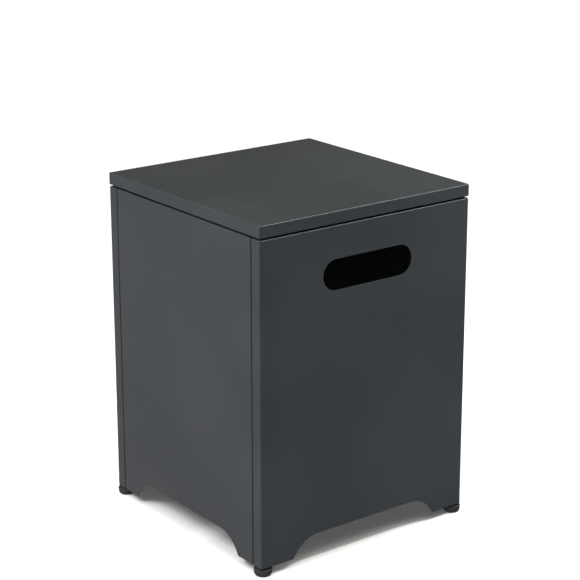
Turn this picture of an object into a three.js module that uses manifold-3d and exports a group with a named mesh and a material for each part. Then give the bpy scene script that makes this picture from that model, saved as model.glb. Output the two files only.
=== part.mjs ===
// Propane tank cover table: a square sheet-steel cabinet that drops over a gas bottle,
// with a lift-off lid as its table top and four levelling feet.
// Millimetres, +Z up. The origin is on the floor under the middle of the cabinet, and
// the face that carries the hand slot looks along -Y.

import * as THREE from 'three';
import { mergeVertices } from 'three/addons/utils/BufferGeometryUtils.js';
import Module from 'manifold-3d';

// Cabinet
const bodyWidth = 400; // across the left and right faces
const bodyDepth = 400; // across the front and rear faces
const bodyHeight = 510.5; // from the panels' bottom edge up to the rim
const bodyLift = 13.5; // from the floor up to the panels' bottom edge
const bodySheet = 1; // thickness of the panels' steel
const cornerRadius = 3; // outside radius of the upright corners
const rimRadius = 2; // outside radius of the fold round the rim
const rimWidth = 16; // how far the rim reaches in from the faces

// Seams between the wrapped front and rear panels and the two side panels
const returnWidth = 21.5; // how far the front and rear panels wrap onto the sides
const seamFlangeWidth = 16; // how far the seam flanges reach in from the side faces
const seamFlangeLift = 6; // from the bottom edge up to the start of the seam flanges
const sheetGap = 0.3; // between two sheets that are fastened together

// Hand slot in the front and rear panels
const slotLength = 170;
const slotHeight = 48;
const slotDrop = 74.8; // from the rim down to the slot's middle

// Cut-out in the bottom edge of every panel
const legWidth = 60.5; // from the cabinet's corner to the cut-out, at the bottom edge
const archHeight = 30.2;
const archRadius = 52;

// Fastening of the seams
const screwRadius = 2;
const screwLength = 10; // under the head
const screwHeadRadius = 4;
const screwHeadHeight = 2.6;
const screwHeadRim = 0.8; // height of the head's upright edge
const screwHeadCrown = 0.5; // fall of the head's dome, half way out
const screwInset = 8.5; // from the side face to the screw's axis
const lowScrewLift = 30; // from the bottom edge up to the lowest screw
const topScrewDrop = 45; // from the rim down to the highest screw
const screwsPerSeam = 3;
const nutWidth = 7; // across the flats
const nutHeight = 3.2;
const threadGap = 0.3; // round every screw and stud, in its holes and its nut

// Lid
const lidOverhang = 0.5; // how far the lid stands out past each face
const lidHeight = 19;
const lidSheet = 1.2;
const lidGap = 3; // open gap between the rim and the lid
const lidRimRadius = 2.2; // outside radius of the fold round the top
const lidCornerRadius = 3.2; // outside radius of the upright corners
const lipWidth = 15; // how far the lip under the skirt reaches in

// Hat sections that stiffen the lid
const hatSheet = 1;
const hatDepth = 11.5;
const hatWidth = 34;
const hatFlange = 13;
const hatSpacing = 150; // between the two hat sections' middles
const hatEndGap = 2; // from the hat sections' ends to the skirts
const foldRadius = 1.5; // middle radius of the folds in the small steel parts

// Locating tabs that centre the lid in the rim
const locatorSheet = 1.2;
const locatorWidth = 44;
const locatorSeat = 12; // width of the leg that lies on the lip
const locatorReach = 18; // how far the tab hangs down below the rim
const locatorPlay = 1; // between the tab and the rim's edge

// Buffers between the lid and the rim
const bufferRadius = 5;
const bufferInset = 9.5; // from the faces to the buffer's axis
const bufferStemRadius = 2.2;
const bufferBarbRadius = 3.1;
const bufferBarbHeight = 3;

// Brackets in the bottom corners that carry the feet
const bracketSheet = 2;
const bracketLift = 1; // from the panels' bottom edge up to the bracket's underside
const bracketHeight = 44;
const bracketReach = 27; // how far the bracket reaches in from the side face
const seatGap = 0.3; // between a part and what it sits on

// Feet
const footInset = 10.1; // from the faces to the foot's axis
const padRadius = 14.15;
const padHeight = 12.4;
const padFootRadius = 3.5; // rounding of the pad's lower edge
const padChamfer = 0.8; // of the pad's upper edge
const padFloor = 4; // rubber under the socket
const studRadius = 4;
const studFlangeRadius = 8;
const studFlangeHeight = 2.4;
const studLength = 31; // from the flange's underside to the stud's top
const studChamfer = 0.8;
const studSlotWidth = 1.4;
const studSlotDepth = 2;
const runningGap = 0.3; // between the stud and the pad it turns in
const footNutWidth = 13; // across the flats
const footNutHeight = 6.5;

// Steps that a quarter turn of each round stretch is divided into
const bendSteps = 4;
const archSteps = 8;
const slotSteps = 8;
const boreSteps = 3;

// Sides of the turned parts
const screwSides = 12;
const studSides = 16;
const padSides = 24;

// How far every cutting shape runs past the face that it cuts
const overrun = 5;

// Heights and half widths that several parts share
const bodyBottom = bodyLift;
const bodyTop = bodyLift + bodyHeight;
const lidBottom = bodyTop + lidGap;
const lidTop = lidBottom + lidHeight;
const halfWidth = bodyWidth / 2;
const halfDepth = bodyDepth / 2;
const seamDepth = halfDepth - returnWidth; // from the middle to the front panels' seam edge
const sideDepth = seamDepth - sheetGap; // from the middle to the side panels' edge
const tabDepth = sideDepth - bodySheet - sheetGap; // to the face of a bracket's tab

// Finishes
const paintedSteel = { color: 0x4f5356, roughness: 0.55, metalness: 0.35 };
const zincSteel = { color: 0xb4b8ba, roughness: 0.35, metalness: 0.9 };
const rubber = { color: 0x1d1d1e, roughness: 0.85, metalness: 0 };

const wasm = await Module();
wasm.setup();

const table = new THREE.Group();

// Closed solid that can be joined and cut
function toSolid(geometry) {
  const plain = geometry.index ? geometry.toNonIndexed() : geometry.clone();
  for (const name of Object.keys(plain.attributes)) {
    if (name !== 'position') plain.deleteAttribute(name);
  }
  const merged = mergeVertices(plain);
  return new wasm.Manifold(new wasm.Mesh({
    numProp: 3,
    vertProperties: Float32Array.from(merged.attributes.position.array),
    triVerts: Uint32Array.from(merged.index.array),
  }));
}

// Geometry of a solid, with flat faces
function toGeometry(solid) {
  const mesh = solid.getMesh();
  const geometry = new THREE.BufferGeometry();
  geometry.setAttribute('position', new THREE.BufferAttribute(Float32Array.from(mesh.vertProperties), 3));
  geometry.setIndex(new THREE.BufferAttribute(Uint32Array.from(mesh.triVerts), 1));
  const flat = geometry.toNonIndexed();
  flat.computeVertexNormals();
  return flat;
}

// Block between two opposite corners
function block(low, high) {
  const size = high.map((value, i) => value - low[i]);
  const geometry = new THREE.BoxGeometry(...size);
  geometry.translate(...low.map((value, i) => value + size[i] / 2));
  return toSolid(geometry);
}

// Prism over an outline, along Z. An arc gets two divisions for each curve segment.
function prism(shape, length, steps) {
  return new THREE.ExtrudeGeometry(shape, {
    depth: length, bevelEnabled: false, curveSegments: steps / 2,
  });
}

// Upright prism over an outline drawn in plan
function uprightPrism(shape, low, high, steps) {
  return toSolid(prism(shape, high - low, steps).translate(0, 0, low));
}

// Prism along Y over an outline drawn in X and Z
function prismAlongY(shape, low, high, steps) {
  return toSolid(prism(shape, high - low, steps).rotateX(Math.PI / 2).translate(0, high, 0));
}

// Prism along X over an outline drawn in Y and Z
function prismAlongX(shape, low, high, steps) {
  const lying = new THREE.Matrix4().makeBasis(
    new THREE.Vector3(0, 1, 0), new THREE.Vector3(0, 0, 1), new THREE.Vector3(1, 0, 0));
  return toSolid(prism(shape, high - low, steps).applyMatrix4(lying).translate(low, 0, 0));
}

// Cylinder along Y, used for the screw holes
function holeAlongY(x, z, low, high, radius) {
  const geometry = new THREE.CylinderGeometry(radius, radius, high - low, 4 * boreSteps);
  return toSolid(geometry.translate(x, (low + high) / 2, z));
}

// Upright cylinder, used for the stud and stem holes
function uprightHole(x, y, low, high, radius) {
  const geometry = new THREE.CylinderGeometry(radius, radius, high - low, 4 * boreSteps);
  return toSolid(geometry.rotateX(Math.PI / 2).translate(x, y, (low + high) / 2));
}

// Rectangle about the origin with round corners
function roundRectangle(width, depth, radius) {
  const x = width / 2;
  const y = depth / 2;
  const shape = new THREE.Shape();
  shape.moveTo(x, radius - y);
  shape.absarc(x - radius, y - radius, radius, 0, Math.PI / 2);
  shape.absarc(radius - x, y - radius, radius, Math.PI / 2, Math.PI);
  shape.absarc(radius - x, radius - y, radius, Math.PI, 1.5 * Math.PI);
  shape.absarc(x - radius, radius - y, radius, 1.5 * Math.PI, 2 * Math.PI);
  return shape;
}

// Upright block whose upright corners and upper and lower edges are rounded
function roundBlock(width, depth, low, high, corner, edge) {
  const geometry = new THREE.ExtrudeGeometry(roundRectangle(width, depth, corner), {
    depth: high - low - 2 * edge,
    curveSegments: bendSteps / 2,
    bevelEnabled: true,
    bevelThickness: edge,
    bevelSize: edge,
    bevelOffset: -edge,
    bevelSegments: bendSteps,
  });
  geometry.translate(0, 0, low + edge);
  return toSolid(geometry);
}

// Outline of a sheet that is folded along a line of corner points, seen end on.
// The radius is that of the sheet's middle.
function foldedOutline(corners, thickness, radius) {
  const points = corners.map((corner) => new THREE.Vector2(...corner));
  const leftOf = (direction) => new THREE.Vector2(-direction.y, direction.x);
  const edge = (offset) => {
    const line = [];
    points.forEach((point, i) => {
      const before = points[i - 1];
      const after = points[i + 1];
      const arriving = (before ? point.clone().sub(before) : after.clone().sub(point)).normalize();
      const leaving = (after ? after.clone().sub(point) : point.clone().sub(before)).normalize();
      const turn = Math.asin(arriving.cross(leaving));
      if (!before || !after) {
        line.push(point.clone().addScaledVector(leftOf(arriving), offset));
        return;
      }
      const side = Math.sign(turn);
      const setback = radius * Math.tan(Math.abs(turn) / 2);
      const centre = point.clone().addScaledVector(arriving, -setback);
      centre.addScaledVector(leftOf(arriving), side * radius);
      const spoke = leftOf(arriving).multiplyScalar(offset - side * radius);
      for (let step = 0; step <= bendSteps; step += 1) {
        const angle = turn * step / bendSteps;
        line.push(spoke.clone().rotateAround(new THREE.Vector2(), angle).add(centre));
      }
    });
    return line;
  };
  const right = edge(-thickness / 2);
  const left = edge(thickness / 2).reverse();
  return new THREE.Shape([...right, ...left]);
}

// Solid turned about the upright axis, from its outline as radius and height
function turned(outline, sides) {
  return new THREE.LatheGeometry(outline.map(([radius, height]) => new THREE.Vector2(radius, height)), sides)
    .rotateX(Math.PI / 2);
}

// Points of a quarter round that ends level with its centre, as radius and height
function lowerRound(centreRadius, centreHeight, radius) {
  const points = [];
  for (let step = 0; step <= bendSteps; step += 1) {
    const angle = (Math.PI / 2) * (step / bendSteps - 1);
    points.push([centreRadius + radius * Math.cos(angle), centreHeight + radius * Math.sin(angle)]);
  }
  return points;
}

// Hexagon nut standing on the plane below it
function nutGeometry(width, height, boreRadius) {
  const shape = new THREE.Shape();
  const reach = width / Math.sqrt(3);
  for (let side = 0; side < 6; side += 1) {
    const angle = side * Math.PI / 3;
    const point = [reach * Math.cos(angle), reach * Math.sin(angle)];
    if (side === 0) shape.moveTo(...point);
    else shape.lineTo(...point);
  }
  shape.closePath();
  const bore = new THREE.Path();
  bore.absarc(0, 0, boreRadius, 0, 2 * Math.PI, true);
  shape.holes.push(bore);
  return prism(shape, height, 4 * boreSteps);
}

// Named part in a group, or in the table itself
function addPart(name, geometry, finish, parent = table) {
  const material = new THREE.MeshStandardMaterial(finish);
  const mesh = new THREE.Mesh(geometry, material);
  mesh.name = name;
  parent.add(mesh);
  return mesh;
}

// Group turned about the upright axis in the middle of the table
function turnedGroup(angle) {
  const group = new THREE.Group();
  group.rotation.z = angle;
  table.add(group);
  return group;
}

// The four corners, with the signs of their X and Y
const cornerSigns = {
  front_left: [-1, -1],
  front_right: [1, -1],
  rear_right: [1, 1],
  rear_left: [-1, 1],
};

// Heights of the seam screws
const lowScrew = bodyBottom + lowScrewLift;
const highScrew = bodyTop - topScrewDrop;
const screwHeights = Array.from({ length: screwsPerSeam },
  (_, i) => lowScrew + (highScrew - lowScrew) * i / (screwsPerSeam - 1));

// Cabinet shell that the four panels are parts of: walls and rim with rounded folds
function cabinetShell() {
  const outside = roundBlock(bodyWidth, bodyDepth, bodyBottom - overrun, bodyTop, cornerRadius, rimRadius);
  const inside = roundBlock(bodyWidth - 2 * bodySheet, bodyDepth - 2 * bodySheet, bodyBottom - 2 * overrun,
    bodyTop - bodySheet, cornerRadius - bodySheet, rimRadius - bodySheet);
  const below = block([-bodyWidth, -bodyDepth, bodyBottom - 2 * overrun], [bodyWidth, bodyDepth, bodyBottom]);
  const mouth = block([rimWidth - halfWidth, rimWidth - halfDepth, bodyTop - bodySheet - overrun],
    [halfWidth - rimWidth, halfDepth - rimWidth, bodyTop + overrun]);
  return outside.subtract(inside).subtract(below).subtract(mouth);
}

// Cut-out in a panel's bottom edge: level at the top, round at both ends
function archOutline(span) {
  const half = span / 2 - legWidth;
  const centreDrop = archRadius - archHeight;
  const run = Math.sqrt(archRadius ** 2 - centreDrop ** 2);
  const rise = Math.atan2(centreDrop, run);
  const height = bodyBottom - centreDrop;
  const shape = new THREE.Shape();
  shape.moveTo(-half, bodyBottom - overrun);
  shape.lineTo(half, bodyBottom - overrun);
  shape.absarc(half - run, height, archRadius, rise, Math.PI / 2);
  shape.absarc(run - half, height, archRadius, Math.PI / 2, Math.PI - rise);
  return shape;
}

// Hand slot with round ends
function slotOutline() {
  const radius = slotHeight / 2;
  const reach = slotLength / 2 - radius;
  const height = bodyTop - slotDrop;
  const shape = new THREE.Shape();
  shape.absarc(reach, height, radius, -Math.PI / 2, Math.PI / 2);
  shape.absarc(-reach, height, radius, Math.PI / 2, 1.5 * Math.PI);
  return shape;
}

// Holes for the screws of both front seams
function seamHoles() {
  const holes = [];
  for (const side of [-1, 1]) {
    for (const height of screwHeights) {
      holes.push(holeAlongY(side * (halfWidth - screwInset), height, -seamDepth - bodySheet - overrun,
        -tabDepth + bracketSheet + overrun, screwRadius + threadGap));
    }
  }
  return holes;
}

// Front and rear panels: face, wrapped corners, rim and two inward seam flanges
function wrappedPanel() {
  const region = block([-bodyWidth, -bodyDepth, bodyBottom - overrun],
    [bodyWidth, -seamDepth, bodyTop + overrun]);
  let panel = cabinetShell().intersect(region);
  for (const side of [-1, 1]) {
    const reach = [side * (halfWidth - bodySheet / 2), side * (halfWidth - seamFlangeWidth)].sort((a, b) => a - b);
    panel = panel.add(block([reach[0], -seamDepth - bodySheet, bodyBottom + seamFlangeLift],
      [reach[1], -seamDepth, bodyTop - bodySheet / 2]));
  }
  panel = panel.subtract(prismAlongY(archOutline(bodyWidth), -halfDepth - overrun, -seamDepth, archSteps));
  panel = panel.subtract(prismAlongY(slotOutline(), -halfDepth - overrun, -seamDepth, slotSteps));
  for (const hole of seamHoles()) panel = panel.subtract(hole);
  return toGeometry(panel);
}

// Side panels: face, rim and two inward seam flanges, made as the left one
function sidePanel() {
  const region = block([-bodyWidth, -sideDepth, bodyBottom - overrun],
    [-halfWidth + rimWidth + overrun, sideDepth, bodyTop + overrun]);
  const inner = block([-halfWidth + rimWidth, -bodyDepth, bodyBottom - overrun],
    [bodyWidth, bodyDepth, bodyTop + overrun]);
  let panel = cabinetShell().intersect(region).subtract(inner);
  for (const end of [-1, 1]) {
    const span = [end * sideDepth, end * (sideDepth - bodySheet)].sort((a, b) => a - b);
    panel = panel.add(block([-halfWidth + bodySheet / 2, span[0], bodyBottom + seamFlangeLift],
      [-halfWidth + seamFlangeWidth, span[1], bodyTop - bodySheet / 2]));
  }
  const arch = prismAlongX(archOutline(bodyDepth), -halfWidth - overrun, -halfWidth + overrun, archSteps);
  panel = panel.subtract(arch);
  for (const height of screwHeights) {
    panel = panel.subtract(holeAlongY(-halfWidth + screwInset, height, -halfDepth, halfDepth,
      screwRadius + threadGap));
  }
  return toGeometry(panel);
}

// Foot bracket of the front left corner: a plate for the stud and a tab at the seam
function footBracket() {
  const plateMiddle = bodyBottom + bracketLift + bracketSheet / 2;
  const tabMiddle = -tabDepth + bracketSheet / 2;
  const near = -halfDepth + bodySheet + seatGap;
  const left = -halfWidth + bodySheet + seatGap;
  const right = -halfWidth + bracketReach;
  const outline = foldedOutline([[near, plateMiddle], [tabMiddle, plateMiddle],
    [tabMiddle, bodyBottom + bracketHeight]], bracketSheet, foldRadius + bracketSheet / 2);
  const plan = new THREE.Shape();
  plan.moveTo(left + cornerRadius, near);
  plan.lineTo(right, near);
  plan.lineTo(right, 0);
  plan.lineTo(left, 0);
  plan.lineTo(left, near + cornerRadius);
  plan.closePath();
  let bracket = prismAlongX(outline, left, right, bendSteps);
  bracket = bracket.intersect(uprightPrism(plan, bodyBottom, bodyTop, bendSteps));
  bracket = bracket.subtract(uprightHole(-halfWidth + footInset, -halfDepth + footInset,
    bodyBottom - overrun, bodyBottom + bracketLift + bracketSheet + overrun, studRadius + threadGap));
  bracket = bracket.subtract(holeAlongY(-halfWidth + screwInset, lowScrew, -seamDepth - overrun, -tabDepth
    + bracketSheet + overrun, screwRadius + threadGap));
  return toGeometry(bracket);
}

// Mirror image of a geometry, for the parts of the opposite hand
function mirrored(geometry, signs) {
  const copy = geometry.clone();
  const [x, y] = signs;
  copy.scale(x, y, 1);
  if (x * y > 0) return copy;
  const position = copy.attributes.position;
  for (let face = 0; face < position.count; face += 3) {
    const second = new THREE.Vector3().fromBufferAttribute(position, face + 1);
    const third = new THREE.Vector3().fromBufferAttribute(position, face + 2);
    position.setXYZ(face + 1, third.x, third.y, third.z);
    position.setXYZ(face + 2, second.x, second.y, second.z);
  }
  copy.computeVertexNormals();
  return copy;
}

// Panels
const wrapped = wrappedPanel();
const plain = sidePanel();
addPart('front_panel', wrapped, paintedSteel);
addPart('rear_panel', wrapped, paintedSteel, turnedGroup(Math.PI));
addPart('left_side_panel', plain, paintedSteel);
addPart('right_side_panel', plain, paintedSteel, turnedGroup(Math.PI));

// Foot brackets, and the nuts that are welded on them
const bracket = footBracket();
const footNut = nutGeometry(footNutWidth, footNutHeight, studRadius + threadGap);
for (const [corner, [x, y]] of Object.entries(cornerSigns)) {
  addPart(`foot_bracket_${corner}`, mirrored(bracket, [-x, -y]), paintedSteel);
  const nut = addPart(`foot_nut_${corner}`, footNut, zincSteel);
  nut.position.set(x * (halfWidth - footInset), y * (halfDepth - footInset),
    bodyBottom + bracketLift + bracketSheet + seatGap);
}

// Seam screws and nuts: the head lies against the wrapped panel's flange, and the nut
// against the side panel's, or against the bracket's tab at the lowest screw
const screw = turned([[0, -screwHeadHeight], [screwHeadRadius / 2, screwHeadCrown - screwHeadHeight],
  [screwHeadRadius, -screwHeadRim], [screwHeadRadius, 0], [screwRadius, 0], [screwRadius, screwLength],
  [0, screwLength]], screwSides);
const seamNut = nutGeometry(nutWidth, nutHeight, screwRadius + threadGap);
for (const [corner, [x, y]] of Object.entries(cornerSigns)) {
  screwHeights.forEach((height, i) => {
    const fastener = new THREE.Group();
    fastener.position.set(x * (halfWidth - screwInset), y * (seamDepth + bodySheet + seatGap), height);
    fastener.rotation.x = y * Math.PI / 2;
    table.add(fastener);
    addPart(`seam_screw_${corner}_${i + 1}`, screw, zincSteel, fastener);
    const nut = addPart(`seam_nut_${corner}_${i + 1}`, seamNut, zincSteel, fastener);
    const tab = i === 0 ? sheetGap + bracketSheet : 0;
    nut.position.z = seatGap + 2 * bodySheet + sheetGap + tab + seatGap;
  });
}

// Lid: a folded tray with skirts and a lip, open underneath
function lidTray() {
  const width = bodyWidth + 2 * lidOverhang;
  const depth = bodyDepth + 2 * lidOverhang;
  const outside = roundBlock(width, depth, lidBottom - overrun, lidTop, lidCornerRadius, lidRimRadius);
  const inside = roundBlock(width - 2 * lidSheet, depth - 2 * lidSheet, lidBottom + lidSheet,
    lidTop - lidSheet, lidCornerRadius - lidSheet, lidRimRadius - lidSheet);
  const below = block([-width, -depth, lidBottom - 2 * overrun], [width, depth, lidBottom]);
  const mouth = block([lipWidth - width / 2, lipWidth - depth / 2, lidBottom - overrun],
    [width / 2 - lipWidth, depth / 2 - lipWidth, lidTop - lidHeight / 2]);
  let tray = outside.subtract(below).subtract(inside).subtract(mouth);
  for (const [x, y] of Object.values(cornerSigns)) {
    tray = tray.subtract(uprightHole(x * (halfWidth - bufferInset), y * (halfDepth - bufferInset),
      lidBottom - overrun, lidBottom + lidSheet + overrun, bufferStemRadius + threadGap));
  }
  return toGeometry(tray);
}
addPart('lid_tray', lidTray(), paintedSteel);

// Hat sections under the lid, from skirt to skirt
function hatSection() {
  const top = lidTop - lidSheet - seatGap - hatSheet / 2;
  const bottom = top - hatDepth + hatSheet;
  const half = hatWidth / 2;
  const reach = halfWidth + lidOverhang - lidSheet - hatEndGap;
  const outline = foldedOutline([[-half - hatFlange, top], [-half, top], [-half, bottom], [half, bottom],
    [half, top], [half + hatFlange, top]], hatSheet, foldRadius);
  return toGeometry(prismAlongX(outline, -reach, reach, bendSteps));
}
const hat = hatSection();
addPart('lid_stiffener_front', hat, paintedSteel).position.y = -hatSpacing / 2;
addPart('lid_stiffener_rear', hat, paintedSteel).position.y = hatSpacing / 2;

// Locating tab of the front edge, for a rim at the given distance from the middle
function locator(rimDistance) {
  const seat = lidBottom + lidSheet + seatGap + locatorSheet / 2;
  const tab = -rimDistance + rimWidth + locatorPlay + locatorSheet / 2;
  const outline = foldedOutline([[tab - locatorSeat, seat], [tab, seat],
    [tab, bodyTop - locatorReach]], locatorSheet, foldRadius);
  return toGeometry(prismAlongX(outline, -locatorWidth / 2, locatorWidth / 2, bendSteps));
}
const locatorPlaces = { front: [0, halfDepth], right: [1, halfWidth], rear: [2, halfDepth], left: [3, halfWidth] };
for (const [edge, [quarterTurns, distance]] of Object.entries(locatorPlaces)) {
  addPart(`lid_locator_${edge}`, locator(distance), paintedSteel, turnedGroup(quarterTurns * Math.PI / 2));
}

// Buffers: a disc between lip and rim, and a barbed stem through the lip
function bufferGeometry() {
  const low = bodyTop + seatGap;
  const discTop = lidBottom - seatGap;
  const barbLow = lidBottom + lidSheet + seatGap;
  return turned([[0, low], [bufferRadius, low], [bufferRadius, discTop], [bufferStemRadius, discTop],
    [bufferStemRadius, barbLow], [bufferBarbRadius, barbLow],
    [bufferStemRadius / 2, barbLow + bufferBarbHeight], [0, barbLow + bufferBarbHeight]], screwSides);
}
const buffer = bufferGeometry();
for (const [corner, [x, y]] of Object.entries(cornerSigns)) {
  const mesh = addPart(`lid_buffer_${corner}`, buffer, rubber);
  mesh.position.set(x * (halfWidth - bufferInset), y * (halfDepth - bufferInset), 0);
}

// Foot pad: round, with a socket that the stud's flange turns in
function padGeometry() {
  const socketRadius = studFlangeRadius + runningGap;
  const socketTop = padFloor + studFlangeHeight + 2 * runningGap;
  const neck = studRadius + runningGap;
  return turned([[0, 0], ...lowerRound(padRadius - padFootRadius, padFootRadius, padFootRadius),
    [padRadius, padHeight - padChamfer], [padRadius - padChamfer, padHeight], [neck, padHeight],
    [neck, socketTop], [socketRadius, socketTop], [socketRadius, padFloor], [0, padFloor]], padSides);
}

// Levelling stud with a driver slot in its top
function studGeometry() {
  const low = padFloor + runningGap;
  const top = low + studLength;
  const body = turned([[0, low], [studFlangeRadius, low], [studFlangeRadius, low + studFlangeHeight],
    [studRadius, low + studFlangeHeight], [studRadius, top - studChamfer], [studRadius - studChamfer, top],
    [0, top]], studSides);
  const slot = block([-studRadius - overrun, -studSlotWidth / 2, top - studSlotDepth],
    [studRadius + overrun, studSlotWidth / 2, top + overrun]);
  return toGeometry(toSolid(body).subtract(slot));
}
const pad = padGeometry();
const stud = studGeometry();
for (const [corner, [x, y]] of Object.entries(cornerSigns)) {
  for (const [name, geometry, finish] of [['foot_pad', pad, rubber], ['foot_stud', stud, zincSteel]]) {
    const mesh = addPart(`${name}_${corner}`, geometry, finish);
    mesh.position.set(x * (halfWidth - footInset), y * (halfDepth - footInset), 0);
  }
}

export default table;
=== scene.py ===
import bmesh
import bpy
import numpy as np
from mathutils import Matrix


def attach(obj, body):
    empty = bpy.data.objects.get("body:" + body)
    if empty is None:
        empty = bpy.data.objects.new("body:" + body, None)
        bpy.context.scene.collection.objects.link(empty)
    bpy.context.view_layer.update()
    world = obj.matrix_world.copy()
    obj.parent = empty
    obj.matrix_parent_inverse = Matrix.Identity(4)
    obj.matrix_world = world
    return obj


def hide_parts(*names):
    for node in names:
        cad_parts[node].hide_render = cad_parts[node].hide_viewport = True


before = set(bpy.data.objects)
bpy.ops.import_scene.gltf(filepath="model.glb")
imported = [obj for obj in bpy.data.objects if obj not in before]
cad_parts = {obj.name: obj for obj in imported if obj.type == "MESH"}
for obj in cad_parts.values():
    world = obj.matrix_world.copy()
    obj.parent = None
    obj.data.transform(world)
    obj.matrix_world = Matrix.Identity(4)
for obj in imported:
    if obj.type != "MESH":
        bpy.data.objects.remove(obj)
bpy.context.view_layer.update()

# Camera
# It stands in front of the cabinet and to its left, a little above the lid, and looks
# slightly down through a long lens. Places are in metres, turns in radians.
camera_place = (-1.658827, -2.186958, 1.233664)
camera_heading = -0.650673  # turn about the upright axis
camera_tilt = 1.271483  # up from looking straight down
camera_roll = -0.000927
lens_length = 112.809
sensor_width = 36
frame_shift_share = -0.02414

camera = bpy.data.objects.new("camera", bpy.data.cameras.new("camera"))
camera.data.lens = lens_length
camera.data.sensor_width = sensor_width
camera.data.shift_y = frame_shift_share
camera.matrix_world = (
    Matrix.Translation(camera_place)
    @ Matrix.Rotation(camera_heading, 4, "Z")
    @ Matrix.Rotation(camera_tilt, 4, "X")
    @ Matrix.Rotation(camera_roll, 4, "Z")
)
bpy.context.collection.objects.link(camera)
bpy.context.scene.camera = camera
bpy.context.scene.view_settings.view_transform = "Standard"

# Floor
# A plain white square, level, with the table in its middle. It glows faintly, as a lit
# studio floor does, and is left out of the gloss of the faces.
floor_reach = 1.8  # from the middle to the sides
floor_white = (0.86, 0.86, 0.86, 1)
floor_roughness = 0.9
floor_glow = 0.09

floor_mesh = bpy.data.meshes.new("floor")
floor_corners = [(-1, -1, 0), (1, -1, 0), (1, 1, 0), (-1, 1, 0)]
floor_mesh.from_pydata((np.array(floor_corners) * floor_reach).tolist(), [], [(0, 1, 2, 3)])
floor_finish = bpy.data.materials.new("floor_white")
floor_finish.use_nodes = True
floor_shader = floor_finish.node_tree.nodes["Principled BSDF"]
floor_shader.inputs["Base Color"].default_value = floor_white
floor_shader.inputs["Roughness"].default_value = floor_roughness
floor_shader.inputs["Specular IOR Level"].default_value = 0
floor_shader.inputs["Emission Color"].default_value = floor_white
floor_shader.inputs["Emission Strength"].default_value = floor_glow
floor_mesh.materials.append(floor_finish)
floor = bpy.data.objects.new("floor", floor_mesh)
bpy.context.collection.objects.link(floor)
floor.visible_glossy = False

# Lights
# A soft dome, brightest overhead, a wide high light, and four soft boxes at the left, the
# rear and the right. Below the floor's level the dome stands in for the white floor in the
# gloss of the faces. The camera alone sees a plain white backdrop instead of the dome.
dome_lobes = (  # edge and core are angles from the middle of a lobe, in degrees
    {"towards": (0, 0, 1), "edge": 55, "core": 10, "light": (1.90, 1.84, 1.67)},
    {"towards": (1, 1.2, 0.45), "edge": 50, "core": 10, "light": (0.05, 0.048, 0.02)},
    {"towards": (-0.9, 0.1, -0.4), "edge": 80, "core": 40, "light": (0.545, 0.535, 0.55)},
    {"towards": (0.57, -0.75, -0.33), "edge": 50, "core": 10, "light": (0.215, 0.255, 0.295)},
)
backdrop_strength = 1.2
high_light_strength = 1.05
high_light_spread = 1.2  # angle across the light, seen from the floor, in radians
high_light_place = (-0.9, 0.1, 2.0)
soft_boxes = {
    "left_box": {"place": (-1.25, 0, 1.4), "aim": (-0.1, 0, 0.4), "size": (0.6, 0.6), "power": 18},
    "rear_box": {"place": (-0.7, 1.4, 1.5), "aim": (-0.1, 0, 0.5), "size": (0.3, 0.3), "power": 1.5},
    "edge_box": {
        "place": (0.68, -0.56, 1.36), "aim": (0.68, 0.1, 0.3), "size": (0.7, 0.08), "power": 14
    },
    "low_box": {"place": (1.0, -0.6, 0.8), "aim": (0.1, -0.2, 0.35), "size": (0.5, 0.5), "power": 3},
}


def turned_to(place, aim):
    """Place and turn of a light that shines from one point to another."""
    away = Matrix.Translation(place).translation - Matrix.Translation(aim).translation
    return Matrix.Translation(place) @ away.to_track_quat("Z", "Y").to_matrix().to_4x4()


high_light = bpy.data.lights.new("high_light", "SUN")
high_light.energy = high_light_strength
high_light.angle = high_light_spread
holder = bpy.data.objects.new("high_light", high_light)
holder.matrix_world = turned_to(high_light_place, (0, 0, 0))
bpy.context.collection.objects.link(holder)
for name, box in soft_boxes.items():
    lamp = bpy.data.lights.new(name, "AREA")
    lamp.shape = "RECTANGLE"
    lamp.size, lamp.size_y = box["size"]
    lamp.energy = box["power"]
    holder = bpy.data.objects.new(name, lamp)
    holder.matrix_world = turned_to(box["place"], box["aim"])
    bpy.context.collection.objects.link(holder)

world = bpy.data.worlds.new("room")
world.use_nodes = True
tree = world.node_tree
direction = tree.nodes.new("ShaderNodeTexCoord")
light_so_far = None
for lobe in dome_lobes:
    towards = np.array(lobe["towards"]) / np.linalg.norm(lobe["towards"])
    along = tree.nodes.new("ShaderNodeVectorMath")
    along.operation = "DOT_PRODUCT"
    along.inputs[1].default_value = towards
    tree.links.new(direction.outputs["Generated"], along.inputs[0])
    fade = tree.nodes.new("ShaderNodeMapRange")
    fade.interpolation_type = "SMOOTHSTEP"
    fade.inputs["From Min"].default_value = np.cos(np.radians(lobe["edge"]))
    fade.inputs["From Max"].default_value = np.cos(np.radians(lobe["core"]))
    tree.links.new(along.outputs["Value"], fade.inputs["Value"])
    total = tree.nodes.new("ShaderNodeVectorMath")
    total.operation = "MULTIPLY_ADD"
    total.inputs[1].default_value = lobe["light"]
    tree.links.new(fade.outputs["Result"], total.inputs[0])
    if light_so_far is not None:
        tree.links.new(light_so_far, total.inputs[2])
    light_so_far = total.outputs[0]
tree.links.new(light_so_far, tree.nodes["Background"].inputs["Color"])
backdrop = tree.nodes.new("ShaderNodeBackground")
backdrop.inputs["Color"].default_value = floor_white
backdrop.inputs["Strength"].default_value = backdrop_strength
seen = tree.nodes.new("ShaderNodeLightPath")
either = tree.nodes.new("ShaderNodeMixShader")
tree.links.new(seen.outputs["Is Camera Ray"], either.inputs[0])
tree.links.new(tree.nodes["Background"].outputs[0], either.inputs[1])
tree.links.new(backdrop.outputs[0], either.inputs[2])
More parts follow.
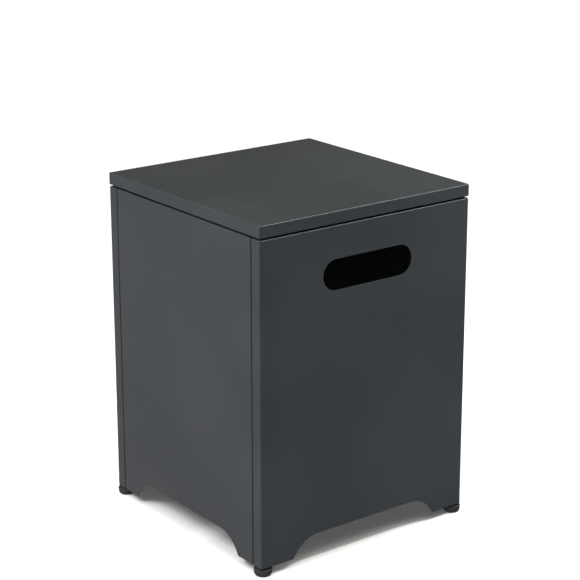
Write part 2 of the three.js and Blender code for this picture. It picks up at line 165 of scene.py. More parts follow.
tree.links.new(either.outputs[0], tree.nodes["World Output"].inputs["Surface"])
bpy.context.scene.world = world

# Front and rear panels
# Each is one 1 mm steel sheet, laser cut and folded: the face, both upright corners with
# a strip of each side, the rim, and two inward flanges that are screwed to the sides.
# They are sprayed with a satin dark grey powder coat and baked.
body_half = 0.200  # from the middle to the faces
body_bottom = 0.0135
body_top = 0.524
wall_sheet = 0.001
corner_radius = 0.003
rim_radius = 0.0015
rim_width = 0.016
seam_edge = 0.1785  # from the middle to the wrapped panels' edge
seam_fold = 0.0008  # outside radius of the flanges' fold
seam_relief = 0.0009  # that the folds stand back from the flanges' plane
seam_depth = 0.0065  # from the face in to where the flanges meet
flange_width = 0.016
flange_lift = 0.006  # from the bottom edge up to the flanges
flange_drop = 0.0026  # from the rim down to the flanges
slot_length = 0.170
slot_radius = 0.024
slot_drop = 0.0748  # from the rim down to the slot's middle
leg_width = 0.0605
arch_height = 0.0302
arch_radius = 0.052
cut_edge = 0.00015  # rounding of the cut edges by the powder coat
cut_segments = 2
cut_angle = 40  # degrees; a sharper turn than this counts as a cut edge
edge_row = 0.0006  # from a cut edge to the grid's next row
weld_gap = 0.000002

arc_points = 15  # of the grid, round half an end of the slot and round an end of the cut-out
slot_points = 5  # along half of the slot's straight stretch
leg_points = 7  # from the cut-out's end to the corner
fold_points = 7
corner_points = 9  # round an upright corner, and round the rim's fold
wall_rows = 7  # from the flanges' lower end to the slot's middle
head_rows = 5  # from the slot's middle to the flanges' upper end
side_shares = (0.5, 0.97)  # of the wrapped side, for two of its columns
strip_start = 0.0018  # from the face in to the first level row of the rim
strip_row = 0.009  # from the face in to its middle row

coat_dark = (0.026, 0.030, 0.0335, 1)
coat_light = (0.033, 0.037, 0.041, 1)
coat_roughness = (0.30, 0.34)
coat_specular = 0.4
coat_drift = 5  # cloudiness of the colour, in patches per metre
coat_speckle = 1500  # grain of the powder
coat_speckle_share = 0.35  # of the change of colour, the rest being clouds
coat_sheen = 100  # changes of gloss, per metre
coat_peel = 1000  # fine ripple of the baked coat
coat_peel_detail = 1
coat_peel_height = 0.00002
noise_middle = (0.3, 0.7)  # that most of a noise lies between

slot_middle = body_top - slot_drop
slot_straight = slot_length / 2 - slot_radius
arch_fall = arch_radius - arch_height
arch_run = np.sqrt(arch_radius**2 - arch_fall**2)
arch_middle = body_half - leg_width - arch_run
arch_angle = np.arcsin(arch_run / arch_radius)
quarter = np.pi / 2


def noise(tree, scale, detail=2):
    """Noise over the piece's own place in the table, in features per metre."""
    place = tree.nodes.new("ShaderNodeTexCoord")
    texture = tree.nodes.new("ShaderNodeTexNoise")
    texture.inputs["Scale"].default_value = scale
    texture.inputs["Detail"].default_value = detail
    tree.links.new(place.outputs["Object"], texture.inputs["Vector"])
    return texture.outputs["Fac"]


def spread(tree, value, low, high):
    """The middle part of a noise stretched out between two values."""
    stretch = tree.nodes.new("ShaderNodeMapRange")
    stretch.inputs["From Min"].default_value = noise_middle[0]
    stretch.inputs["From Max"].default_value = noise_middle[1]
    stretch.inputs["To Min"].default_value = low
    stretch.inputs["To Max"].default_value = high
    tree.links.new(value, stretch.inputs["Value"])
    return stretch.outputs["Result"]


def tint(tree, shader, share, first, second):
    """Colours a finish between two colours, by a share."""
    mix = tree.nodes.new("ShaderNodeMix")
    mix.data_type = "RGBA"
    mix.inputs["A"].default_value = first
    mix.inputs["B"].default_value = second
    tree.links.new(share, mix.inputs["Factor"])
    tree.links.new(mix.outputs["Result"], shader.inputs["Base Color"])


def dull(tree, shader, scale, roughness):
    """Makes a finish uneven in gloss, between two roughnesses."""
    tree.links.new(spread(tree, noise(tree, scale), *roughness), shader.inputs["Roughness"])


def ripple(tree, shader, height, depth):
    """Roughens a finish by a height from 0 to 1, times a depth."""
    bump = tree.nodes.new("ShaderNodeBump")
    bump.inputs["Strength"].default_value = 1
    bump.inputs["Distance"].default_value = depth
    tree.links.new(height, bump.inputs["Height"])
    tree.links.new(bump.outputs["Normal"], shader.inputs["Normal"])


def new_finish(name, specular):
    """Empty finish, its node tree and its shader."""
    material = bpy.data.materials.new(name)
    material.use_nodes = True
    shader = material.node_tree.nodes["Principled BSDF"]
    shader.inputs["Specular IOR Level"].default_value = specular
    return material, material.node_tree, shader


def powder_coat():
    """Satin powder coat: cloudy dark grey with a fine grain and a fine orange-peel ripple."""
    material, tree, shader = new_finish("powder_coat_satin", coat_specular)
    cloud = spread(tree, noise(tree, coat_drift), 0, 1)
    grain = spread(tree, noise(tree, coat_speckle), 0, 1)
    share = tree.nodes.new("ShaderNodeMath")
    share.operation = "MULTIPLY_ADD"
    share.inputs[1].default_value = coat_speckle_share
    tree.links.new(grain, share.inputs[0])
    tree.links.new(spread(tree, cloud, 0, 1 - coat_speckle_share), share.inputs[2])
    tint(tree, shader, share.outputs[0], coat_dark, coat_light)
    dull(tree, shader, coat_sheen, coat_roughness)
    ripple(tree, shader, noise(tree, coat_peel, coat_peel_detail), coat_peel_height)
    return material


def foot_line(across):
    """Height of a panel's bottom edge, at a distance across from the face's middle: level
    over the cut-out and under the legs, and on a circle of the arch's radius between."""
    out = np.clip(np.abs(across) - arch_middle, 0, arch_run)
    return body_bottom - arch_fall + np.sqrt(arch_radius**2 - out**2)


def slot_half(across):
    """Half of the hand slot's height: its radius over the straight stretch, and a half
    circle round each end."""
    out = np.clip(np.abs(across) - slot_straight, 0, slot_radius)
    return np.sqrt(slot_radius**2 - out**2)


def face_columns(end):
    """Distances across a face that the grid has columns at: even over level stretches,
    by equal angles round the slot's ends and the cut-out's ends, and up to the end."""
    turn = np.linspace(0, 1, arc_points)[1:]
    right = np.concatenate([
        np.linspace(0, slot_straight, slot_points),
        slot_straight + slot_radius * np.sin(turn * quarter),
        [arch_middle],
        arch_middle + arch_radius * np.sin(turn * arch_angle),
        np.linspace(body_half - leg_width, end, leg_points)[1:],
    ])
    return np.concatenate([-right[:0:-1], right])


def seam_flange(edge):
    """Plan of the flange and its fold at a seam edge on the left: straight out from its
    inner edge, slightly back, then a quarter circle round to the left face."""
    flat = np.array([flange_width, flange_width - edge_row, seam_depth]) - body_half
    turn = np.linspace(quarter, np.pi, fold_points)
    back = edge - seam_relief - seam_fold
    x = np.concatenate([flat, seam_fold - body_half + seam_fold * np.cos(turn)])
    y = np.concatenate([np.full(flat.shape, edge), back + seam_fold * np.sin(turn)])
    return np.stack([x, y], axis=-1)


def wrapped_plan(inset):
    """Plan of the wrapped panel, one row for each inset: the left side from its seam edge,
    a corner of radius corner_radius - inset, the face, and the same again mirrored."""
    inset = np.atleast_1d(inset)[:, None]
    reach = body_half - np.maximum(inset, corner_radius)
    bend = np.maximum(corner_radius - inset, 0)
    start = seam_edge + seam_relief
    fold_share = seam_fold / (body_half - corner_radius - start)
    side_y = start + (reach - start) * np.array([0, fold_share, *side_shares])
    turn = np.linspace(0, quarter, corner_points)
    x = np.concatenate([-reach - bend + 0 * side_y, -reach - bend * np.cos(turn)], axis=1)
    y = np.concatenate([-side_y, -reach - bend * np.sin(turn)], axis=1)
    face_x = reach * wrapped_across / (body_half - corner_radius)
    face = np.stack([face_x, -reach - bend + 0 * face_x], axis=-1)
    left = np.stack([x, y], axis=-1)
    return np.concatenate([left, face, left[:, ::-1] * (-1, 1)], axis=1)


def wall(plan, heights):
    """Surface over a plan, each of its points at the heights of its column."""
    places = np.broadcast_to(plan, heights.shape + (2,))
    return np.concatenate([places, heights[..., None]], axis=-1)


def panel_patches(plan_at, across, slot_share, flange, far_flange):
    """Outer surface of a panel: a band under the flanges, two bands between the flanges,
    below and above the slot, and a top band with the rim's fold and its level strip. Rows
    are shares of the height from the bottom edge to the slot's middle less half the slot,
    and from half the slot above it to the fold. The fold is a quarter circle: height =
    start + rim_radius sin a, inset = rim_radius (1 - cos a)."""
    low, half = foot_line(across), slot_half(across) * slot_share
    fold_start = body_top - rim_radius
    reach = slot_middle - body_bottom
    low_share = flange_lift / reach
    top_share = 1 - (flange_drop - rim_radius) / (fold_start - slot_middle)
    lower = np.concatenate([np.linspace(low_share, 1 - edge_row / reach, wall_rows), [1]])[:, None]
    upper = np.concatenate([[0], np.linspace(edge_row / slot_drop, top_share, head_rows)])[:, None]
    foot = np.array([0, edge_row / reach, low_share])[:, None]
    lower_z = low + lower * (slot_middle - half - low)
    foot_z = low + foot * (slot_middle - half - low)
    upper_z = slot_middle + half + upper * (fold_start - slot_middle - half)
    head = np.array([top_share, 1])[:, None]
    head_z = slot_middle + half + head * (fold_start - slot_middle - half)
    turn = np.linspace(0, quarter, corner_points)[1:]
    strip = np.array([strip_start, corner_radius, strip_row, rim_width - edge_row, rim_width])
    fold_z = np.concatenate([fold_start + rim_radius * np.sin(turn), np.full(strip.shape, body_top)])
    inset = np.concatenate([[0, 0], rim_radius * (1 - np.cos(turn)), strip])
    rim_z = np.concatenate([head_z, np.broadcast_to(fold_z[:, None], (fold_z.size, across.size))])
    straight = plan_at(0)
    folded = np.concatenate([flange, straight[0, 2:-2], far_flange])
    ends = flange.shape[0] - 1

    def with_flanges(heights):
        """The heights, with the ends' heights again for each column of the flanges."""
        inner = heights[:, 1:-1]
        return np.concatenate([inner[:, :1]] * ends + [inner] + [inner[:, -1:]] * ends, axis=1)

    return [
        wall(straight, foot_z),
        wall(folded, with_flanges(lower_z)),
        wall(folded, with_flanges(upper_z)),
        wall(plan_at(inset), rim_z),
    ]


def turned_about(patches, turn):
    """The patches turned about the upright axis in the middle of the table."""
    spin = np.array(Matrix.Rotation(turn, 3, "Z"))
    return [patch @ spin.T for patch in patches]


def new_piece(name, patches, body, material, nodes):
    """Piece from grids of points: each grid's neighbours are joined by quads, and points
    that fall together are merged."""
    sizes = [patch.shape[0] * patch.shape[1] for patch in patches]
    starts = np.cumsum([0] + sizes[:-1])
    faces = []
    for patch, start in zip(patches, starts):
        rows, columns = patch.shape[:2]
        first = start + np.arange(rows - 1)[:, None] * columns + np.arange(columns - 1)
        quads = np.stack([first, first + 1, first + columns + 1, first + columns], axis=-1)
        faces.append(quads.reshape(-1, 4))
    points = np.concatenate([patch.reshape(-1, 3) for patch in patches])
    mesh = bpy.data.meshes.new(name)
    mesh.from_pydata(points.tolist(), [], np.concatenate(faces).tolist())
    work = bmesh.new()
    work.from_mesh(mesh)
    bmesh.ops.remove_doubles(work, verts=work.verts, dist=weld_gap)
    bmesh.ops.dissolve_degenerate(work, dist=weld_gap, edges=work.edges)
    work.to_mesh(mesh)
    work.free()
    mesh.polygons.foreach_set("use_smooth", np.ones(len(mesh.polygons), dtype=bool))
    mesh.materials.append(material)
    piece = bpy.data.objects.new(name, mesh)
    bpy.context.collection.objects.link(piece)
    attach(piece, body)
    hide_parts(*nodes)
    return piece


def ease_edges(piece, width):
    """Rounds the cut edges, and keeps flat faces looking flat."""
    ease = piece.modifiers.new("edges", "BEVEL")
    ease.width = width
    ease.segments = cut_segments
    ease.limit_method = "ANGLE"
    ease.angle_limit = np.radians(cut_angle)
    ease.use_clamp_overlap = False
    flatten = piece.modifiers.new("flats", "WEIGHTED_NORMAL")
    flatten.keep_sharp = False


def sheet_piece(name, patches, body, node, sheet, side=-1):
    """Powder-coated piece of folded sheet with eased edges. Its surface is given the
    sheet's thickness inwards, or to both sides with side 0."""
    piece = new_piece(name, patches, body, coat, [node])
    thickness = piece.modifiers.new("sheet", "SOLIDIFY")
    thickness.thickness = sheet
    thickness.offset = side
    thickness.use_even_offset = True
    ease_edges(piece, cut_edge)


def panel_pair(patches, names):
    """A panel, and the same pressing turned half round for the other side."""
    for name, turn in zip(names, (0, np.pi)):
        sheet_piece(name + "_sheet", turned_about(patches, turn), "cabinet", name, wall_sheet)


coat = powder_coat()
wrapped_across = face_columns(body_half - corner_radius)[1:-1]
beside = np.full(len(side_shares) + 2 + corner_points, body_half)  # columns beyond the face
across_all = np.concatenate([beside, wrapped_across, beside])
flange_left = seam_flange(-seam_edge)
panel = panel_patches(wrapped_plan, across_all, 1, flange_left, flange_left[::-1] * (-1, 1))
panel_pair(panel, ("front_panel", "rear_panel"))

# Side panels
# Plain folded sheets of the same steel between the front and rear panels, with the same
# rim and the same cut-out over the floor, and a flange at each seam.
side_edge = 0.1782  # from the middle to the side panels' edge


def side_plan(inset):
    """Plan of the left panel, one row for each inset: a straight line from rear to front."""
    inset = np.atleast_1d(inset)[:, None]
    y = side_line * np.ones_like(inset)
    return np.stack([inset - body_half + 0 * y, y], axis=-1)


side_start = side_edge - seam_relief
side_across = face_columns(side_start - seam_fold)[::-1]
side_line = np.concatenate([[side_start], side_across, [-side_start]])
flange_rear = seam_flange(side_edge)
panel = panel_patches(side_plan, side_line, 0, flange_rear, flange_rear[::-1] * (1, -1))
panel_pair(panel, ("left_side_panel", "right_side_panel"))

# Foot brackets
# Each corner has an angle of 2 mm steel: a plate for the foot's stud, and a tab that is
# screwed to the seam flanges at the lowest screw. Its free corners are rounded.
bracket_sheet = 0.002
bracket_lift = 0.001  # from the panels' bottom edge up to the plate
bracket_height = 0.044
bracket_reach = 0.027  # from the side face inwards
bracket_fold = 0.0025  # middle radius
bracket_corner = 0.003
seat_gap = 0.0003
tab_edge = 0.1769  # from the middle to the tab's outer side
end_points = 6  # of the grid, round a free corner
width_shares = (0, 0.1, 0.5, 0.9, 1)  # of a folded part's width, for the grid's columns
corner_signs = {
    "front_left": (-1, -1),
    "front_right": (1, -1),
    "rear_right": (1, 1),
    "rear_left": (-1, 1),
}


def folded_line(corners, radius, end_radius):
    """Line through corner points, seen end on, with an arc at each inner corner. It also
    gives how far the sheet's ends are pulled in at each point, on a circle of end_radius:
    end_radius - sqrt(end_radius squared - (end_radius - distance from the end) squared)."""
    points = np.array(corners, dtype=float)
    turn = np.linspace(0, quarter, end_points)
    near_end = end_radius * (1 - np.cos(turn))
    first, last = points[1] - points[0], points[-2] - points[-1]
    line = [points[0] + near_end[:, None] * first / np.linalg.norm(first)]
    for before, corner, after in zip(points, points[1:], points[2:]):
        arriving = (corner - before) / np.linalg.norm(corner - before)
        leaving = (after - corner) / np.linalg.norm(after - corner)
        side = np.sign(arriving[0] * leaving[1] - arriving[1] * leaving[0])
        spoke = side * radius * np.array([arriving[1], -arriving[0]])
        centre = corner - radius * arriving - spoke
        angle = side * np.linspace(0, quarter, fold_points)[:, None]
        across = np.array([-spoke[1], spoke[0]])
        line.append(centre + spoke * np.cos(angle) + across * np.sin(angle))
    line.append(points[-1] + near_end[::-1, None] * last / np.linalg.norm(last))
    line = np.concatenate(line)
    steps = np.linalg.norm(np.diff(line, axis=0), axis=1)
    from_start = np.concatenate([[0], np.cumsum(steps)])
    to_end = from_start[-1] - from_start
    room = end_radius - np.minimum(np.minimum(from_start, to_end), end_radius)
    return line, end_radius - np.sqrt(np.maximum(end_radius**2 - room**2, 0))


def carried(line, low, high):
    """A line of (y, z) points carried along X, from low to high at each of its points."""
    x = low[:, None] + (high - low)[:, None] * np.array(width_shares)
    y, z = line[:, :1] + 0 * x, line[:, 1:] + 0 * x
    return np.stack([x, y, z], axis=-1)


def mirrored(patches, signs):
    """The patches mirrored to another corner, still facing outwards."""
    flip = np.array([-signs[0], -signs[1], 1])
    return [(patch if signs[0] * signs[1] > 0 else patch[:, ::-1]) * flip for patch in patches]


plate_z = body_bottom + bracket_lift + bracket_sheet / 2
tab_y = bracket_sheet / 2 - tab_edge
near = wall_sheet + seat_gap - body_half
tab_top = body_bottom + bracket_height
bracket_line = [(near, plate_z), (tab_y, plate_z), (tab_y, tab_top)]
angle_line, pull = folded_line(bracket_line, bracket_fold, bracket_corner)
angle = carried(angle_line, near + pull, bracket_reach - body_half - pull)
for corner, signs in corner_signs.items():
    name = "foot_bracket_" + corner
    sheet_piece(name + "_angle", mirrored([angle], signs), "cabinet", name, bracket_sheet, 0)

# Seam screws and their nuts
# Three zinc-plated M4 pan-head screws with a cross recess hold each seam: the head lies
# against the wrapped panel's flange, and the nut against the side panel's flange, or at
# the lowest screw against the bracket's tab.
screw_radius = 0.002
screw_length = 0.010
screw_pitch = 0.0007
thread_depth_share = 0.6  # of the pitch
head_radius = 0.004
head_height = 0.0026
head_rim = 0.0008
recess_reach = 0.0019
recess_width = 0.0009
recess_depth = 0.0012
recess_slope = 0.00035
screw_inset = 0.0085
screw_heights = (0.0435, 0.26125, 0.479)
seam_nut_width = 0.007
seam_nut_height = 0.0032
nut_crown_share = 0.96  # of half the width across the flats, where the corners fall away
bore_chamfer = 0.0003
thread_gap = 0.0003
thread_rows = 6  # of the grid in one turn of the thread
screw_sides = 40
head_rings = 22
nut_sides = 36
nut_flat_turn = np.pi / 3  # from one flat to the next
nut_ease = 0.0001

zinc_blue = (0.50, 0.52, 0.54, 1)
zinc_yellow = (0.60, 0.58, 0.53, 1)
zinc_specular = 0.5
zinc_roughness = (0.26, 0.42)
zinc_cloud = 160
zinc_sheen = 866.667
zinc_grain = 2600
zinc_detail = 3
zinc_grain_height = 0.00001


def zinc_plate():
    """Bright zinc plate: faint blue and yellow clouds, uneven gloss and a fine grain."""
    material, tree, shader = new_finish("zinc_plate_bright", zinc_specular)
    shader.inputs["Metallic"].default_value = 1
    tint(tree, shader, spread(tree, noise(tree, zinc_cloud, zinc_detail), 0, 1), zinc_blue, zinc_yellow)
    dull(tree, shader, zinc_sheen, zinc_roughness)
    ripple(tree, shader, noise(tree, zinc_grain, zinc_detail), zinc_grain_height)
    return material


def turned(profile, sides):
    """A profile of (radius, height) turned about the upright axis:
    x = radius cos a, y = radius sin a."""
    angles = np.linspace(0, 2 * np.pi, sides + 1)
    radius, height = np.array(profile, dtype=float).T[..., None]
    return np.stack([radius * np.cos(angles), radius * np.sin(angles), height + 0 * angles], axis=-1)


def threaded(crest, pitch, low, high, sides):
    """Thread between two heights: every grid line climbs one pitch per turn, and its
    radius goes from root to crest and back over one pitch. The ends run out on a cone."""
    angles = np.linspace(0, 2 * np.pi, sides + 1)
    depth = thread_depth_share * pitch
    line = np.arange(-thread_rows, thread_rows * (high - low) / pitch + 1)[:, None] / thread_rows
    height = np.clip(low + (line + angles / (2 * np.pi)) * pitch, low, high)
    radius = crest - depth * np.abs(2 * (line % 1) - 1)
    radius = np.minimum(radius, crest - depth + np.minimum(height - low, high - height))
    return np.stack([radius * np.cos(angles), radius * np.sin(angles), height], axis=-1)


def pan_head():
    """Head: height = rim + (full height - rim) * sqrt(1 - (r / R) squared), less a
    cross-shaped recess that falls along its slope to its depth."""
    angles = np.linspace(0, 2 * np.pi, screw_sides + 1)
    radius = (head_radius * np.sin(np.linspace(quarter, 0, head_rings)))[:, None]
    x, y = np.abs(radius * np.cos(angles)), np.abs(radius * np.sin(angles))
    dome = head_rim + (head_height - head_rim) * np.sqrt(1 - (radius / head_radius) ** 2)
    arm_x = np.maximum(x - recess_reach, y - recess_width / 2)
    arm_y = np.maximum(y - recess_reach, x - recess_width / 2)
    cross = np.minimum(arm_x, arm_y)
    height = dome - recess_depth * np.clip(-cross / recess_slope, 0, 1)
    crown = np.stack([radius * np.cos(angles), radius * np.sin(angles), height], axis=-1)
    under = turned([(screw_root, 0), (head_radius, 0), (head_radius, head_rim)], screw_sides)
    return [under, crown]


def hexagon_nut(width, height, bore):
    """Nut: flats at half the width from the axis, radius = half / cos(angle from the
    flat's middle), and corners that fall away at 30 degrees outside its crown circle."""
    angles = np.linspace(0, 2 * np.pi, nut_sides + 1)
    outer = width / 2 / np.cos(angles % nut_flat_turn - nut_flat_turn / 2)
    crown = nut_crown_share * width / 2 + 0 * angles
    fall = (outer - crown) * np.tan(nut_flat_turn / 2)
    inner, mouth = bore + 0 * angles, bore + bore_chamfer + 0 * angles
    level = 0 * angles
    radius = np.stack([inner, mouth, crown, outer, outer, crown, mouth, inner, inner])
    z = np.stack([
        level + bore_chamfer, level, level, fall, height - fall, level + height, level + height,
        level + height - bore_chamfer, level + bore_chamfer,
    ])
    return [np.stack([radius * np.cos(angles), radius * np.sin(angles), z], axis=-1)]


def moved(patches, place):
    """The patches moved to a place."""
    return [patch + np.array(place) for patch in patches]


def laid(patches, side):
    """The patches tipped over so that their top faces along Y, to the given side: x stays,
    y becomes side times z, and z becomes -side times y."""
    return [patch[..., [0, 2, 1]] * (1, side, -side) for patch in patches]


zinc = zinc_plate()
screw_root = screw_radius - thread_depth_share * screw_pitch
shank = threaded(screw_radius, screw_pitch, -screw_length, 0, screw_sides)
tip = turned([(0, -screw_length), (screw_root, -screw_length)], screw_sides)
screw = pan_head() + [shank, tip]
seam_nut = hexagon_nut(seam_nut_width, seam_nut_height, screw_radius + thread_gap)
for corner, (x, y) in corner_signs.items():
    for i, height in enumerate(screw_heights):
        place = (x * (body_half - screw_inset), y * (seam_edge + wall_sheet + seat_gap), height)
        name = f"seam_screw_{corner}_{i + 1}"
        patches = moved(laid(screw, y), place)
        new_piece(name + "_pan_head", patches, "cabinet", zinc, [name])
        tab = 0 if i else thread_gap + bracket_sheet
        depth = seam_nut_height + 3 * seat_gap + 2 * wall_sheet + tab
        name = f"seam_nut_{corner}_{i + 1}"
        patches = moved(laid(moved(seam_nut, (0, 0, -depth)), y), place)
        piece = new_piece(name + "_hexagon", patches, "cabinet", zinc, [name])
        ease_edges(piece, nut_ease)

# Feet
# A moulded black rubber pad round the flange of a zinc-plated M8 levelling stud, which
# turns in a nut welded on the bracket's plate. The stud's top has a driver slot.
foot_inset = 0.0101
pad_radius = 0.01415
pad_height = 0.0124
pad_rim_height = 0.0104
pad_crown = 0.007  # radius of the raised middle
pad_crown_run = 0.0006
pad_round = 0.0046
pad_top_round = 0.0009
pad_lean = 0.11  # of the pad's wall from upright, in radians
pad_floor = 0.004
stud_radius = 0.004
stud_pitch = 0.00125
stud_flange_radius = 0.008
stud_flange_height = 0.0024
stud_flange_ease = 0.0003
stud_length = 0.031
stud_slot_width = 0.0014
stud_slot_depth = 0.002
stud_ease = 0.0006
running_gap = 0.0003
foot_nut_width = 0.013
foot_nut_height = 0.0065
pad_sides = 72
stud_sides = 32
round_points = 9  # of a profile, round an arc
land_points = 25  # of the grid, round a land beside the driver slot
land_wall_points = 9

rubber_dark = (0.014, 0.014, 0.016, 1)
rubber_light = (0.036, 0.036, 0.039, 1)
rubber_roughness = (0.62, 0.82)
rubber_specular = 0.35
rubber_mottle = 320
rubber_mottle_detail = 4
rubber_sheen = 900
rubber_grain = 1800
rubber_grain_height = 0.00012


def black_rubber():
    """Moulded rubber: nearly black with a paler mottle, matt, with a fine pebbled grain."""
    material, tree, shader = new_finish("black_rubber_moulded", rubber_specular)
    mottle = spread(tree, noise(tree, rubber_mottle, rubber_mottle_detail), 0, 1)
    tint(tree, shader, mottle, rubber_dark, rubber_light)
    dull(tree, shader, rubber_sheen, rubber_roughness)
    ripple(tree, shader, noise(tree, rubber_grain), rubber_grain_height)
    return material


def rounding(radius, height, size, start, end):
    """Arc of a profile about a centre, from a start to an end angle: the centre's radius
    + size cos a, the centre's height + size sin a."""
    turn = np.linspace(start, end, round_points)
    return np.stack([radius + size * np.cos(turn), height + size * np.sin(turn)], axis=-1)


def stud_land(side):
    """One of the two lands beside the driver slot: the part of a circle beyond the slot's
    wall, with a bevelled top edge. Each row is this outline shrunk towards its middle."""
    wall_angle = np.arcsin(stud_slot_width / 2 / stud_root)
    turn = np.linspace(wall_angle, np.pi - wall_angle, land_points)
    arc = stud_root * np.stack([np.cos(turn), np.sin(turn)], axis=-1)
    back = np.linspace(arc[-1], arc[0], land_wall_points)[1:]
    outline = np.concatenate([arc, back])
    middle = outline.mean(axis=0)
    share = np.array([0, 1, 1, 1 - stud_ease / stud_root, 0])[:, None, None]
    top = stud_low + stud_length
    low = top - stud_slot_depth - stud_ease
    height = np.array([low, low, top - stud_ease, top, top])[:, None]
    plan = middle + share * (outline - middle)
    return turned_about([wall(plan, height + 0 * outline[:, 0])], side * quarter - quarter)[0]


rubber = black_rubber()
socket_radius = stud_flange_radius + running_gap
socket_top = pad_floor + stud_flange_height + 2 * running_gap
neck = stud_radius + running_gap
rim_middle = pad_radius - pad_top_round
rim_low = pad_rim_height - pad_top_round
wall_run = pad_round - pad_top_round + (rim_low - pad_round) * np.sin(pad_lean)
base_middle = rim_middle - wall_run / np.cos(pad_lean)
pad_profile = np.concatenate([
    [(0, 0)],
    rounding(base_middle, pad_round, pad_round, -quarter, -pad_lean),
    rounding(rim_middle, rim_low, pad_top_round, -pad_lean, quarter),
    [(pad_crown + pad_crown_run, pad_rim_height), (pad_crown, pad_height), (neck, pad_height)],
    [(neck, socket_top), (socket_radius, socket_top), (socket_radius, pad_floor), (0, pad_floor)],
])
stud_low = pad_floor + running_gap
stud_root = stud_radius - thread_depth_share * stud_pitch
flange_top = stud_low + stud_flange_height
thread_top = stud_low + stud_length - stud_slot_depth
flange_flat = stud_flange_radius - stud_flange_ease
stud_foot = turned([
    (0, stud_low), (flange_flat, stud_low), (stud_flange_radius, stud_low + stud_flange_ease),
    (stud_flange_radius, flange_top - stud_flange_ease), (flange_flat, flange_top), (stud_root, flange_top),
], stud_sides)
rod = threaded(stud_radius, stud_pitch, flange_top, thread_top, stud_sides)
rod_top = turned([(stud_root, thread_top), (0, thread_top)], stud_sides)
stud = [stud_foot, rod, rod_top, stud_land(1), stud_land(-1)]
foot_nut = hexagon_nut(foot_nut_width, foot_nut_height, stud_radius + thread_gap)
nut_low = body_bottom + bracket_lift + bracket_sheet + seat_gap
for corner, (x, y) in corner_signs.items():
    place = (x * (body_half - foot_inset), y * (body_half - foot_inset), 0)
    name = "foot_pad_" + corner
    patches = moved([turned(pad_profile, pad_sides)], place)
    new_piece(name + "_rubber", patches, "pad_" + corner, rubber, [name])
    name = "foot_stud_" + corner
    new_piece(name + "_rod", moved(stud, place), "stud_" + corner, zinc, [name])
    name = "foot_nut_" + corner
    patches = moved(foot_nut, (place[0], place[1], nut_low))
    piece = new_piece(name + "_hexagon", patches, "cabinet", zinc, [name])
    ease_edges(piece, nut_ease)

# Lid tray
# The table top is one 1.2 mm steel sheet folded into a tray: the flat top, four skirts
# with welded and ground corners, and a lip turned in under the skirts.
lid_half = 0.2005
lid_bottom = 0.527
lid_top = 0.546
lid_sheet = 0.0012
lid_fold = 0.0016  # outside radius round the top
lid_low_fold = 0.0015  # outside radius under the skirts
lid_corner = 0.0032
lid_edge_points = 9  # of the grid, along an edge
lid_fold_points = 11
lip_width = 0.015
lip_row = 0.009  # from the skirt in to the grid's middle row
top_rows = (0.010, 0.040, 0.100)  # from the skirts in to the grid's rows


def lid_plan(inset):
    """Plan of the lid pushed in by inset, one closed loop for each row: a straight edge
    and a corner of radius lid_corner - inset, four times round."""
    inset = np.atleast_1d(inset)[:, None]
    reach = lid_half - np.maximum(inset, lid_corner)
    bend = np.maximum(lid_corner - inset, 0)
    turn = np.linspace(-quarter, 0, corner_points)[:-1]
    edge_x = reach * np.linspace(-1, 1, lid_edge_points)[:-1]
    x = np.concatenate([edge_x, reach + bend * np.cos(turn)], axis=1)
    y = np.concatenate([-reach - bend + 0 * edge_x, -reach + bend * np.sin(turn)], axis=1)
    loop_x = np.concatenate([x, -y, -x, y, x[:, :1]], axis=1)
    loop_y = np.concatenate([y, x, -y, -x, y[:, :1]], axis=1)
    return np.stack([loop_x, loop_y], axis=-1)


def lid_tray():
    """Outer surface of the tray, row by row: out along the lip, a quarter circle round under
    the skirt, up the skirt, a quarter circle round its top, and in to the lid's middle."""
    low_turn = np.linspace(0, quarter, fold_points)
    top_turn = np.linspace(0, quarter, lid_fold_points)
    lip = np.array([lip_width, lip_width - edge_row, lip_row, lid_corner])
    flat = np.array([lid_fold + edge_row, lid_corner, *top_rows, lid_half])
    under, over = lid_low_fold * (1 - np.sin(low_turn)), lid_fold * (1 - np.cos(top_turn))
    loop = lid_plan(np.concatenate([lip, under, [0], over, flat]))
    height = np.concatenate([
        np.full(lip.shape, lid_bottom),
        lid_bottom + lid_low_fold * (1 - np.cos(low_turn)),
        [(lid_bottom + lid_top) / 2],
        lid_top - lid_fold * (1 - np.sin(top_turn)),
        np.full(flat.shape, lid_top),
    ])
    return wall(loop, height[:, None] + 0 * loop[..., 0])


sheet_piece("lid_tray_sheet", [lid_tray()], "lid", "lid_tray", lid_sheet)

# Lid stiffeners
# Two hat sections of 1 mm steel keep the thin top from sagging. They are folded, spot
# welded under it from skirt to skirt, and powder coated with the tray.
hat_sheet = 0.001
hat_depth = 0.0115
hat_width = 0.034
hat_flange = 0.013
hat_spacing = 0.150
hat_end_gap = 0.002
small_fold = 0.0015  # middle radius
hat_corner = 0.004

hat_top = lid_top - lid_sheet - seat_gap - hat_sheet / 2
hat_low = hat_top - hat_depth + hat_sheet
hat_half = hat_width / 2
hat_line, pull = folded_line([
    (-hat_half - hat_flange, hat_top), (-hat_half, hat_top), (-hat_half, hat_low),
    (hat_half, hat_low), (hat_half, hat_top), (hat_half + hat_flange, hat_top),
], small_fold, hat_corner)
hat_reach = lid_half - lid_sheet - hat_end_gap
hat = carried(hat_line, pull - hat_reach, hat_reach - pull)
for end, side in (("front", -1), ("rear", 1)):
    name = "lid_stiffener_" + end
    patches = moved([hat], (0, side * hat_spacing / 2, 0))
    sheet_piece(name + "_hat", patches, "lid", name, hat_sheet, 0)

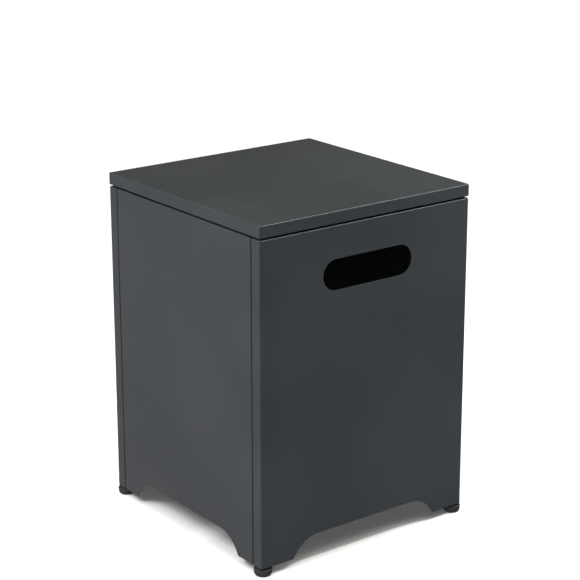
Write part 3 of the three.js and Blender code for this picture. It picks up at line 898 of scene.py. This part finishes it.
# Locating tabs
# Four bent tabs of 1.2 mm steel, welded on the lip at the middle of each edge. They hang
# down inside the rim and keep the lid from sliding off.
locator_sheet = 0.0012
locator_width = 0.044
locator_seat = 0.012
locator_reach = 0.018
locator_play = 0.001
locator_corner = 0.005

seat_z = lid_bottom + lid_sheet + seat_gap + locator_sheet / 2
tab_line = rim_width + locator_play + locator_sheet / 2 - body_half
locator_low = body_top - locator_reach
locator_line = [(tab_line - locator_seat, seat_z), (tab_line, seat_z), (tab_line, locator_low)]
line, pull = folded_line(locator_line, small_fold, locator_corner)
locator = carried(line, pull - locator_width / 2, locator_width / 2 - pull)
for turns, edge in enumerate(("front", "right", "rear", "left")):
    name = "lid_locator_" + edge
    patches = turned_about([locator], turns * quarter)
    sheet_piece(name + "_tab", patches, "lid", name, locator_sheet, 0)

# Lid buffers
# Moulded rubber discs that the lid rests on at the rim's corners, each held in the lip by
# a barbed stem.
buffer_radius = 0.005
buffer_round = 0.0005
buffer_inset = 0.0095
stem_radius = 0.0022
barb_radius = 0.0031
barb_height = 0.003
barb_round = 0.00025
barb_tip_round = 0.0011
buffer_sides = 32

disc_low = body_top + seat_gap
disc_top = lid_bottom - seat_gap
disc_middle = buffer_radius - buffer_round
barb_low = lid_bottom + lid_sheet + seat_gap
barb_top = barb_low + barb_height
buffer_profile = np.concatenate([
    [(0, disc_low)],
    rounding(disc_middle, disc_low + buffer_round, buffer_round, -quarter, 0),
    rounding(disc_middle, disc_top - buffer_round, buffer_round, 0, quarter),
    [(stem_radius, disc_top), (stem_radius, barb_low)],
    rounding(barb_radius - barb_round, barb_low + barb_round, barb_round, -quarter, 0),
    rounding(stem_radius - barb_tip_round, barb_top - barb_tip_round, barb_tip_round, 0, quarter),
    [(0, barb_top)],
])
buffer = turned(buffer_profile, buffer_sides)
for corner, (x, y) in corner_signs.items():
    name = "lid_buffer_" + corner
    patches = moved([buffer], (x * (body_half - buffer_inset), y * (body_half - buffer_inset), 0))
    new_piece(name + "_disc", patches, "lid", rubber, [name])
